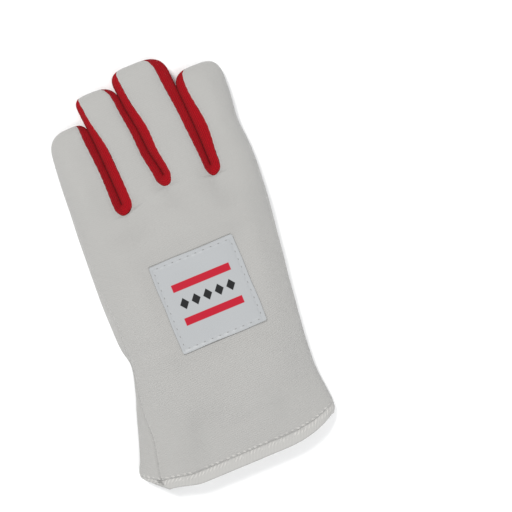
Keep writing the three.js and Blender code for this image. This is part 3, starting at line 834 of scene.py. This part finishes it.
def all_coordinates():
    ways = [panel_coordinates if name.endswith("_panel") else cloth_coordinates for name, _ in grids]
    coordinates = [way(rows) for way, (_, rows) in zip(ways, grids)]
    feet = {"back_panel": coordinates[1][-1], "palm_panel": coordinates[2][-1]}
    used = {"back_panel": 0, "palm_panel": feet["palm_panel"].shape[0] - 1}
    for number in range(3, 3 + 2 * (LAST + 1)):
        name, rows = grids[number]
        cells = rows.shape[1] - 1
        first = used[name] if name == "back_panel" else used[name] - cells
        used[name] = first + cells if name == "back_panel" else first
        foot = feet[name][first:first + cells + 1]
        coordinates[number] = panel_coordinates(rows, foot[cells // 2, 0], foot[:, 1])
    return coordinates


cloth_places = all_coordinates()


def to_object(name, points, faces, layers, material):
    """A mesh object from points in millimetres about the glove, with UV layers given for each corner."""
    mesh = bpy.data.meshes.new(name)
    mesh.from_pydata(((np.asarray(points) + SHIFT) * MM).tolist(), [], faces)
    for layer, values in layers.items():
        uv = mesh.uv_layers.new(name=layer)
        uv.data.foreach_set("uv", np.asarray(values, dtype=np.float32).ravel())
    mesh.polygons.foreach_set("use_smooth", [True] * len(mesh.polygons))
    mesh.materials.append(material)
    made = new_object(name, mesh)
    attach(made, "root")
    return made


def cloth_piece(name, material, thickness, proud=0.0):
    """A piece of the skin as a wall, mitred at its seams, with a hair's gap to the next piece."""
    faces, places = piece_quads(name, grids, skin_indexes), []
    for (piece, _), coordinate in zip(grids, cloth_places):
        if piece == name:
            numbers = np.arange(coordinate[..., 0].size).reshape(coordinate.shape[:2])
            places.append(coordinate.reshape(-1, 2)[quads_of(numbers)])
    places = np.concatenate(places)
    own = unit(normals_of(skin_points, faces)[0])
    edges = {}
    for number, quad in enumerate(faces.tolist()):
        for corner in range(4):
            edges[(quad[corner], quad[(corner + 1) % 4])] = (number, corner)
    border = [edge for edge in edges if edge[0] != edge[1] and edge[::-1] not in edges]
    pulls = np.zeros_like(skin_points)
    for a, b in border:
        step = skin_points[b] - skin_points[a]
        step /= max(np.linalg.norm(step), 1e-9)
        pulls[a] += np.cross(own[a], step)
        pulls[b] += np.cross(own[b], step)
    pulls *= SEAM_GAP / np.maximum((pulls**2).sum(axis=1, keepdims=True), 1)
    used = np.unique(faces)
    place = np.zeros(len(skin_points), int)
    place[used] = np.arange(len(used))

    def layer(depth):
        return skin_points[used] + skin_normals[used] * np.asarray(depth)[:, None] + pulls[used]

    rise = np.full(len(used), proud)
    if proud:
        rise = proud * smooth_all(hem_distance[used] / 2.4)
    points = np.concatenate([layer(rise), layer(rise - thickness)])
    points[:, 2] = np.maximum(points[:, 2], 0.002)
    outer = place[faces]
    count = len(used)
    all_faces = outer.tolist() + (outer[:, ::-1] + count).tolist()
    cloth = places.reshape(-1, 2).tolist() + places[:, ::-1].reshape(-1, 2).tolist()
    corners = faces.ravel().tolist() + faces[:, ::-1].ravel().tolist()
    for a, b in border:
        number, corner = edges[(a, b)]
        at, to = places[number, corner], places[number, (corner + 1) % 4]
        all_faces.append([place[b], place[a], place[a] + count, place[b] + count])
        cloth += [to, at, at, to]
        corners += [b, a, a, b]
    clean, keep, rounded = [], [], []
    for number, face in enumerate(all_faces):
        kept = [v != face[spot - 1] for spot, v in enumerate(face)]
        whole = sum(kept) > 2
        keep += [whole and own_corner for own_corner in kept]
        if whole:
            clean.append([v for v, own_corner in zip(face, kept) if own_corner])
            rounded.append(number < len(all_faces) - len(border))
    corners = np.array(corners)[keep]
    layers = {"cloth": np.array(cloth)[keep]}
    layers["seam"] = np.stack([seam_length, seam_distance], axis=1)[corners]
    layers["hem"] = np.stack([hem_length, hem_distance], axis=1)[corners]
    made = to_object(name + "_cloth", points, clean, layers, material)
    made.data.polygons.foreach_set("use_smooth", rounded)
    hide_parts(name)
    return made


# Materials


class Shader:
    """A Principled material and short ways to add nodes to it."""

    def __init__(self, name, roughness, sheen=0.0):
        self.material = bpy.data.materials.new(name)
        self.material.use_nodes = True
        self.tree = self.material.node_tree
        self.surface = self.tree.nodes["Principled BSDF"]
        self.surface.inputs["Roughness"].default_value = roughness
        self.surface.inputs["Sheen Weight"].default_value = sheen
        self.surface.inputs["Sheen Roughness"].default_value = 0.5
        self.surface.inputs["Specular IOR Level"].default_value = 0.25
        self.height = 0.0

    def node(self, kind, **settings):
        node = self.tree.nodes.new("ShaderNode" + kind)
        for name, value in settings.items():
            setattr(node, name, value)
        return node

    def put(self, value, socket):
        if isinstance(value, bpy.types.NodeSocket):
            self.tree.links.new(value, socket)
        else:
            socket.default_value = value

    def math(self, operation, *values):
        node = self.node("Math", operation=operation)
        for value, socket in zip(values, node.inputs):
            self.put(value, socket)
        return node.outputs[0]

    def place(self, layer):
        """The two coordinates of a UV layer, in millimetres."""
        split = self.node("SeparateXYZ")
        self.put(self.node("UVMap", uv_map=layer).outputs[0], split.inputs[0])
        return split.outputs[0], split.outputs[1]

    def noise(self, scale, detail=2.0, roughness=0.5):
        node = self.node("TexNoise")
        self.put(self.node("TexCoord").outputs["Object"], node.inputs["Vector"])
        node.inputs["Scale"].default_value = scale
        node.inputs["Detail"].default_value = detail
        node.inputs["Roughness"].default_value = roughness
        return node.outputs[0]

    def wave(self, value, pitch, shift=0.0):
        """Rises and falls between 0 and 1 once in each pitch."""
        turn = self.math("MULTIPLY_ADD", value, 2 * math.pi / pitch, shift)
        return self.math("MULTIPLY_ADD", self.math("SINE", turn), 0.5, 0.5)

    def fall(self, distance, reach):
        """1 at a distance of 0, falling to 0 past the reach."""
        share = self.math("DIVIDE", distance, reach)
        return self.math("EXPONENT", self.product(share, share, -1.0))

    def ramp(self, value, start, end, low=0.0, high=1.0):
        """Goes smoothly from low to high while a value goes from start to end."""
        node = self.node("MapRange", interpolation_type="SMOOTHSTEP")
        numbers = {"Value": value, "From Min": start, "From Max": end, "To Min": low, "To Max": high}
        for name, number in numbers.items():
            self.put(number, node.inputs[name])
        return node.outputs[0]

    def band(self, value, low, high, edge=0.15):
        """1 between two values, with soft edges."""
        rise = self.ramp(value, low - edge, low + edge)
        return self.product(rise, self.ramp(value, high + edge, high - edge))

    def mix(self, share, first, second):
        node = self.node("Mix", data_type="RGBA")
        self.put(share, node.inputs["Factor"])
        self.put(first, node.inputs["A"])
        self.put(second, node.inputs["B"])
        return node.outputs["Result"]

    def tint(self, colour, share):
        """A colour multiplied by a brightness."""
        return self.mix(share, (0, 0, 0, 1), colour)

    def total(self, start, *parts):
        """A start plus each value times its amount."""
        for value, amount in parts:
            start = self.math("MULTIPLY_ADD", value, amount, start)
        return start

    def product(self, first, *others):
        for other in others:
            first = self.math("MULTIPLY", first, other)
        return first

    def raise_by(self, *parts):
        """Adds values times their amounts to the surface's height, in millimetres."""
        self.height = self.total(self.height, *parts)

    def finish(self, colour):
        self.put(colour, self.surface.inputs["Base Color"])
        bump = self.node("Bump")
        bump.inputs["Distance"].default_value = MM
        self.put(self.height, bump.inputs["Height"])
        self.put(bump.outputs[0], self.surface.inputs["Normal"])
        return self.material


def knit(shader, across, along):
    """Interlocked V stitches: how high the yarn stands, from 0 to 1."""
    turn = shader.math("FRACT", shader.math("DIVIDE", across, WALE))
    side = shader.math("ABSOLUTE", shader.total(-1.0, (turn, 2.0)))
    loops = shader.wave(shader.total(along, (side, 0.55 * COURSE)), COURSE)
    leg = shader.math("SINE", shader.product(side, math.pi))
    return shader.product(shader.total(0.35, (loops, 0.65)), leg)


def seam_pinch(shader, cloud, pitch, reach):
    """Small tucks along the seams, and the distance from a seam."""
    along, away = shader.place("seam")
    tucks = shader.wave(shader.total(along, (cloud, 9.0)), pitch)
    return shader.product(tucks, shader.fall(away, reach)), away


def hem_thread(shader, lean, pitch, least, worn, reach):
    """Slanted stitches along the hem's seam, as ragged as a worn noise of some scale, share and edge."""
    along, away = shader.place("hem")
    dashes = shader.band(shader.wave(shader.total(along, (away, lean)), pitch), least, 1.2)
    scale, share, edge = worn
    left_over = shader.band(shader.noise(scale, 2), share, 2, edge)
    return shader.product(dashes, shader.band(away, *reach), left_over)


def cotton_material():
    shader = Shader("white_cotton_knit", 0.92, 0.25)
    across, along = shader.place("cloth")
    cloud, fibre = shader.noise(38, 3), shader.noise(*FIBRES)
    loose = shader.ramp(along, 50, 150, 1.0, 0.4)
    stitch = shader.math("SUBTRACT", knit(shader, across, along), 0.4)
    stitch = shader.total(0.4, (stitch, loose))
    pinch, from_seam = seam_pinch(shader, cloud, PUCKER_PITCH, 1.5)
    thread = hem_thread(shader, 0.8, 3.4, 0.45, (210, 0.47, 0.06), (0.2, 1.5, 0.3))
    shader.raise_by((stitch, 0.22), (fibre, 0.05), (cloud, 0.35), (pinch, -0.12), (thread, 0.3))
    # Painted light in the cotton's colour: lighter where the yarn stands high, with painted shade between the
    # loops, painted shade in the tucks by the seams, and a painted highlight along the seams that lifts their
    # shade. The cloud and fibre noise are the cloth's own uneven tone.
    light = shader.total(0.79, (stitch, 0.26), (cloud, 0.07), (fibre, 0.05), (pinch, -0.05))
    light = shader.total(light, (shader.fall(from_seam, 0.55), 0.3))
    # The colour is also darker towards the fingers, by up to 8 %: painted shade in place of the knit's
    # shadow, whose bump is lower there.
    colour = shader.tint(COTTON, shader.product(light, shader.total(0.87, (loose, 0.12))))
    return shader.finish(shader.mix(shader.product(thread, 0.8), colour, THREAD))


def red_material():
    shader = Shader("red_cotton_rib", 0.95, 0.02)
    shader.surface.inputs["Specular IOR Level"].default_value = 0.12
    across, along = shader.place("cloth")
    cloud, fibre = shader.noise(60, 3), shader.noise(*FIBRES)
    rib = shader.wave(across, RIB)
    loops = shader.wave(shader.total(along, (rib, 0.5)), 1.0)
    off_fold = shader.math("SUBTRACT", 1.0, shader.fall(across, 1.6))
    pinch, from_seam = seam_pinch(shader, cloud, PUCKER_PITCH / 2, 0.6)
    shader.raise_by((shader.product(rib, off_fold), 0.4), (loops, 0.16), (fibre, 0.08), (pinch, -0.08))
    # Painted light in the red rib's colour: lighter on the ribs and loops, with painted shade in their
    # grooves, and a painted highlight along the seams that lifts their shade. The cloud noise is the yarn's
    # own uneven tone.
    light = shader.total(0.6, (rib, 0.3), (loops, 0.12), (cloud, 0.16), (shader.fall(from_seam, 0.5), 0.3))
    # Painted shade: darker along the strip's middle, where it bulges into the crease between two fingers.
    colour = shader.tint(RED, shader.product(light, shader.total(1.0, (shader.fall(across, 2.1), -0.3))))
    return shader.finish(shader.mix(shader.product(pinch, 0.12), colour, FLUFF))


def hem_material():
    shader = Shader("ribbed_hem", 0.9, 0.25)
    cloud, fibre = shader.noise(45, 3), shader.noise(*FIBRES)
    rib = shader.wave(shader.place("cloth")[0], 1.9)
    thread = hem_thread(shader, 0.9, 2.3, 0.4, (240, 0.45, 0.07), (0.1, 2.6, 0.5))
    shader.raise_by((rib, 0.13), (fibre, 0.08), (cloud, 0.3), (thread, 0.2))
    # Painted shade in the hem's colour: darker in the grooves between the ribs. The cloud noise is the
    # cloth's own uneven tone.
    colour = shader.tint(COTTON, shader.total(0.92, (rib, 0.07), (cloud, 0.09)))
    return shader.finish(shader.mix(shader.product(thread, 0.5), colour, THREAD))


def patch_material():
    """Coated cloth with two printed bars and a row of small diamonds between them."""
    shader = Shader("coated_patch", 0.42)
    shader.surface.inputs["Coat Weight"].default_value = 0.12
    shader.surface.inputs["Coat Roughness"].default_value = 0.35
    across, along = shader.place("cloth")
    grain, cloud = shader.noise(1500, 3, 0.6), shader.noise(45, 2)
    from_middle = shader.math("ABSOLUTE", along)
    in_print = shader.band(across, -18, 18, 0.2)
    bars = shader.product(shader.band(from_middle, 8, 12.5, 0.18), in_print)
    cell = shader.math("ABSOLUTE", shader.math("WRAP", across, 3.6, -3.6))
    diamonds = shader.product(shader.band(shader.total(cell, (from_middle, 0.8)), -1, 2.8), in_print)
    shader.raise_by((grain, 0.04), (cloud, 0.22), (bars, 0.05), (diamonds, 0.05))
    colour = shader.tint(PATCH, shader.total(0.9, (grain, 0.05), (cloud, 0.06)))
    return shader.finish(shader.mix(diamonds, shader.mix(bars, colour, PRINT_RED), PRINT_BLACK))


def thread_material():
    shader = Shader("sewing_thread", 0.7, 0.2)
    twist = shader.noise(3500, 2)
    shader.raise_by((twist, 0.06))
    return shader.finish(shader.tint(PATCH_THREAD, shader.total(0.85, (twist, 0.2))))


cotton, red, hem = cotton_material(), red_material(), hem_material()

back = cloth_piece("back_panel", cotton, CLOTH)
palm = cloth_piece("palm_panel", cotton, CLOTH)
strips = [cloth_piece(name, red, CLOTH) for name, _ in grids if name.startswith("fourchette")]
cuff = cloth_piece("cuff_hem", hem, HEM_WALL, (HEM_WALL - CLOTH) / 2)


# Thumb


def thumb_points(rings, ring_size, inset):
    """Rings of a flattened tube with rounded ends, set under the palm."""
    half, rows = THUMB_LENGTH / 2 - inset, []
    for i in range(rings + 1):
        along = -half * math.cos(math.pi * (i + 0.15) / (rings + 0.3))
        from_end = half - abs(along)
        half_width = (THUMB_WIDTH / 2 - inset) * quarter(from_end / THUMB_END_RUN)
        half_height = (THUMB_HEIGHT / 2 - inset) * quarter(from_end / THUMB_HEIGHT)
        row = []
        for j in range(ring_size + 1):
            angle = 2 * math.pi * j / ring_size
            cos, sin = math.cos(angle), math.sin(angle)
            crease = 1 - 0.06 * math.exp(-((abs(sin) / 0.1) ** 2)) * (0.7 + 0.3 * math.sin(along * 2.1))
            x = half_width * crease * math.copysign(abs(cos) ** 0.72, cos)
            z = half_height * math.copysign(abs(sin) ** 0.72, sin)
            turned = x * math.cos(THUMB_LEAN) - along * math.sin(THUMB_LEAN)
            ahead = x * math.sin(THUMB_LEAN) + along * math.cos(THUMB_LEAN)
            middle = THUMB_BASE + THUMB_AXIS * THUMB_LENGTH / 2
            row.append((middle[0] + turned, middle[1] + ahead, THUMB_HEIGHT / 2 + z))
        rows.append(row)
    return np.array(rows)


def make_thumb():
    """The thumb's cloth: an outer and an inner face, with cloth coordinates on the outer one."""
    walls = [thumb_points(*THUMB_CELLS, inset) for inset in (0, CLOTH)]
    rows, turns = walls[0], THUMB_CELLS[1]
    numbers = np.arange(rows[..., 0].size).reshape(rows.shape[:2])
    quads = quads_of(numbers)
    joined = numbers // (turns + 1) * turns + numbers % (turns + 1) % turns
    points = np.concatenate([wall[:, :-1].reshape(-1, 3) for wall in walls])
    count = len(points) // 2
    faces = [*quads_of(joined).tolist(), list(range(turns))[::-1], list(range(count - turns, count))]
    faces += [[corner + count for corner in face[::-1]] for face in faces]
    cloth = np.zeros((2 * (quads.size + 2 * turns), 2))
    cloth[:quads.size] = cloth_coordinates(rows).reshape(-1, 2)[quads.ravel()]
    seam = np.stack([cloth[:, 1], np.full(len(cloth), NO_SEAM)], axis=1)
    share = quads.ravel() % (turns + 1) / turns * 2 % 1
    seam[:quads.size, 1] *= 1 - 2 * np.abs(share - 0.5)
    layers = {"cloth": cloth, "seam": seam, "hem": np.full_like(cloth, 2 * NO_SEAM)}
    return to_object("thumb_cloth", points, faces, layers, cotton)


thumb = make_thumb()
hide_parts("thumb")


# Patch, laid on the back, with its edge sewn down

back_surface = BVHTree.FromPolygons(skin_points.tolist(), back_quads.tolist())


def patch_top(x, y):
    """The patch's upper face over the back, in its own coordinates."""
    from_side, from_end = PATCH_WIDTH / 2 - abs(x), PATCH_LENGTH / 2 - abs(y)
    edge = min(from_side, from_end)
    run = x if from_end < from_side else y
    stitch = 0.5 + 0.5 * math.cos(2 * math.pi * run / PATCH_STITCH)
    sewn = math.exp(-(((edge - STITCH_INSET) / 0.8) ** 2)) * (0.2 + 0.25 * stitch)
    rounded = 0.3 * (1 - quarter(edge / 0.6))
    puff = PATCH_PUFF * smooth((edge - 2.5) / 6)
    under = height_under(back_surface, PATCH_CENTRE[0] + x, PATCH_CENTRE[1] + y)
    return under + PATCH_WALL - sewn - rounded + puff


def patch_shares():
    """From 0 to 1 across the patch, closer together near its edges."""
    shares = (k / PATCH_CELLS for k in range(PATCH_CELLS + 1))
    return [share - 0.02 * math.sin(4 * math.pi * share) for share in shares]


patch_rows = []
for v in patch_shares():
    row = []
    for u in patch_shares():
        x, y = PATCH_WIDTH * (u - 0.5), PATCH_LENGTH * (v - 0.5)
        corner = max(0.0, abs(u - 0.5) + abs(v - 0.5) - 0.985) * 26
        x, y = x - math.copysign(corner, x), y - math.copysign(corner, y)
        wobble = 0.15 * math.sin(y / 4.1 + x / 5.3)
        row.append((x + wobble, y - wobble))
    patch_rows.append(row)
patch_flat = np.array(patch_rows).reshape(-1, 2)
inside = patch_flat * 0.9999
tops = np.array([(PATCH_CENTRE[0] + x, PATCH_CENTRE[1] + y, patch_top(x, y)) for x, y in inside])
bottoms = np.array([(x, y, height_under(back_surface, x, y) + 0.1) for x, y, _ in tops])
patch_index = np.arange(len(tops)).reshape(PATCH_CELLS + 1, PATCH_CELLS + 1)
patch_quads = quads_of(patch_index)
rim = [*patch_index[0, :-1], *patch_index[:-1, -1], *patch_index[-1, :0:-1], *patch_index[:0:-1, 0]]
rim_faces = [[rim[k], rim[k] + len(tops), rim[k - 1] + len(tops), rim[k - 1]] for k in range(len(rim))]
patch_faces = patch_quads.tolist() + (patch_quads[:, ::-1] + len(tops)).tolist() + rim_faces
patch_uv = np.concatenate([patch_flat, patch_flat])[np.array(patch_faces).ravel()]
patch_points = np.concatenate([tops, bottoms])
patch = to_object("patch_sheet", patch_points, patch_faces, {"cloth": patch_uv}, patch_material())
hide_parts("patch")


def thread_stitches():
    """Short threads round the patch, each a bead drawn out along its edge."""
    points, faces = [], []
    beads, turns = BEAD_CELLS
    sides = (
        (1, 0, PATCH_WIDTH, PATCH_LENGTH / 2 - STITCH_INSET),
        (0, 1, PATCH_LENGTH, PATCH_WIDTH / 2 - STITCH_INSET),
    )
    for along_x, along_y, length, off in sides:
        count = int((length - 2 * STITCH_INSET) / PATCH_STITCH)
        for side in (-1, 1):
            for k in range(count):
                middle = (k + 0.5 - count / 2) * PATCH_STITCH
                first = len(points)
                for i in range(beads + 1):
                    share = i / (beads / 2) - 1
                    run = middle + STITCH_HALF * share
                    x = run if along_x else side * off
                    y = side * off if along_x else run
                    top = patch_top(x, y) - 0.1
                    radius = STITCH_RADIUS * math.sqrt(1.02 - share * share)
                    for j in range(turns):
                        angle = 2 * math.pi * j / turns
                        across, up = radius * math.cos(angle), radius * math.sin(angle)
                        spot = (x + across * along_y, y + across * along_x, top + up)
                        points.append((PATCH_CENTRE[0] + spot[0], PATCH_CENTRE[1] + spot[1], spot[2]))
                for i in range(beads):
                    for j in range(turns):
                        a, b = first + i * turns + j, first + i * turns + (j + 1) % turns
                        face = [a, b, b + turns, a + turns]
                        faces.append(face if along_x else [b, a, a + turns, b + turns])
                for cap in (0, beads):
                    ends = [first + cap * turns + j for j in range(turns)]
                    faces.append(ends if (cap == beads) == bool(along_x) else ends[::-1])
    return to_object("patch_thread", points, faces, {}, thread_material())


thread = thread_stitches()


# The table, the light and the camera


def table_top(size=6):
    mesh = bpy.data.meshes.new("table_top")
    corners = [(-size, -size, 0), (size, -size, 0), (size, size, 0), (-size, size, 0)]
    mesh.from_pydata(corners, [], [(0, 1, 2, 3)])
    shader = Shader("pale_table", 0.75)
    shader.raise_by((shader.noise(300, 2), 0.02))
    mesh.materials.append(shader.finish(shader.tint(TABLE, shader.total(0.98, (shader.noise(8, 2), 0.03)))))
    return new_object("table_top", mesh)


def lamp(name, place, size, power, colour):
    light = bpy.data.lights.new(name, "AREA")
    light.shape = "DISK"
    light.size = size
    light.energy = power
    light.color = colour
    made = new_object(name, light)
    made.location = place
    made.rotation_euler = (TARGET - place).to_track_quat("-Z", "Y").to_euler()
    return made


# The photograph's upward direction on the table, the middle of its frame and the camera's place
UP = Vector((0.383, 0.924, 0))
RIGHT = UP.cross(Vector((0, 0, 1)))
TARGET = Vector((0.044, -0.0123, 0.008))
ELEVATION = math.radians(86)
DISTANCE = 0.713

floor = table_top()
key_place = TARGET - RIGHT * 0.9 + UP * 0.9 + Vector((0, 0, 1.5))
fill_place = TARGET + RIGHT * 0.7 - UP * 1.1 + Vector((0, 0, 1.3))
key = lamp("window_light", key_place, 0.7, KEY_POWER, (1, 0.99, 0.96))
fill = lamp("room_light", fill_place, 1.4, FILL_POWER, (1, 0.99, 0.97))

world = bpy.data.worlds.new("pale_room")
world.use_nodes = True
sky = world.node_tree.nodes["Background"]
sky.inputs["Color"].default_value = (0.97, 0.98, 1, 1)
sky.inputs["Strength"].default_value = WORLD_LIGHT
bpy.context.scene.world = world

camera_data = bpy.data.cameras.new("camera")
camera_data.lens = 85
camera_data.sensor_width = 36
camera_data.clip_start = 0.01
camera = new_object("camera", camera_data)
camera.location = TARGET + DISTANCE * (Vector((0, 0, math.sin(ELEVATION))) - UP * math.cos(ELEVATION))
back_way = (camera.location - TARGET).normalized()
side_way = UP.cross(back_way).normalized()
up_way = back_way.cross(side_way)
camera.rotation_euler = Matrix((side_way, up_way, back_way)).transposed().to_euler()
bpy.context.scene.camera = camera
bpy.context.scene.view_settings.view_transform = "Standard"
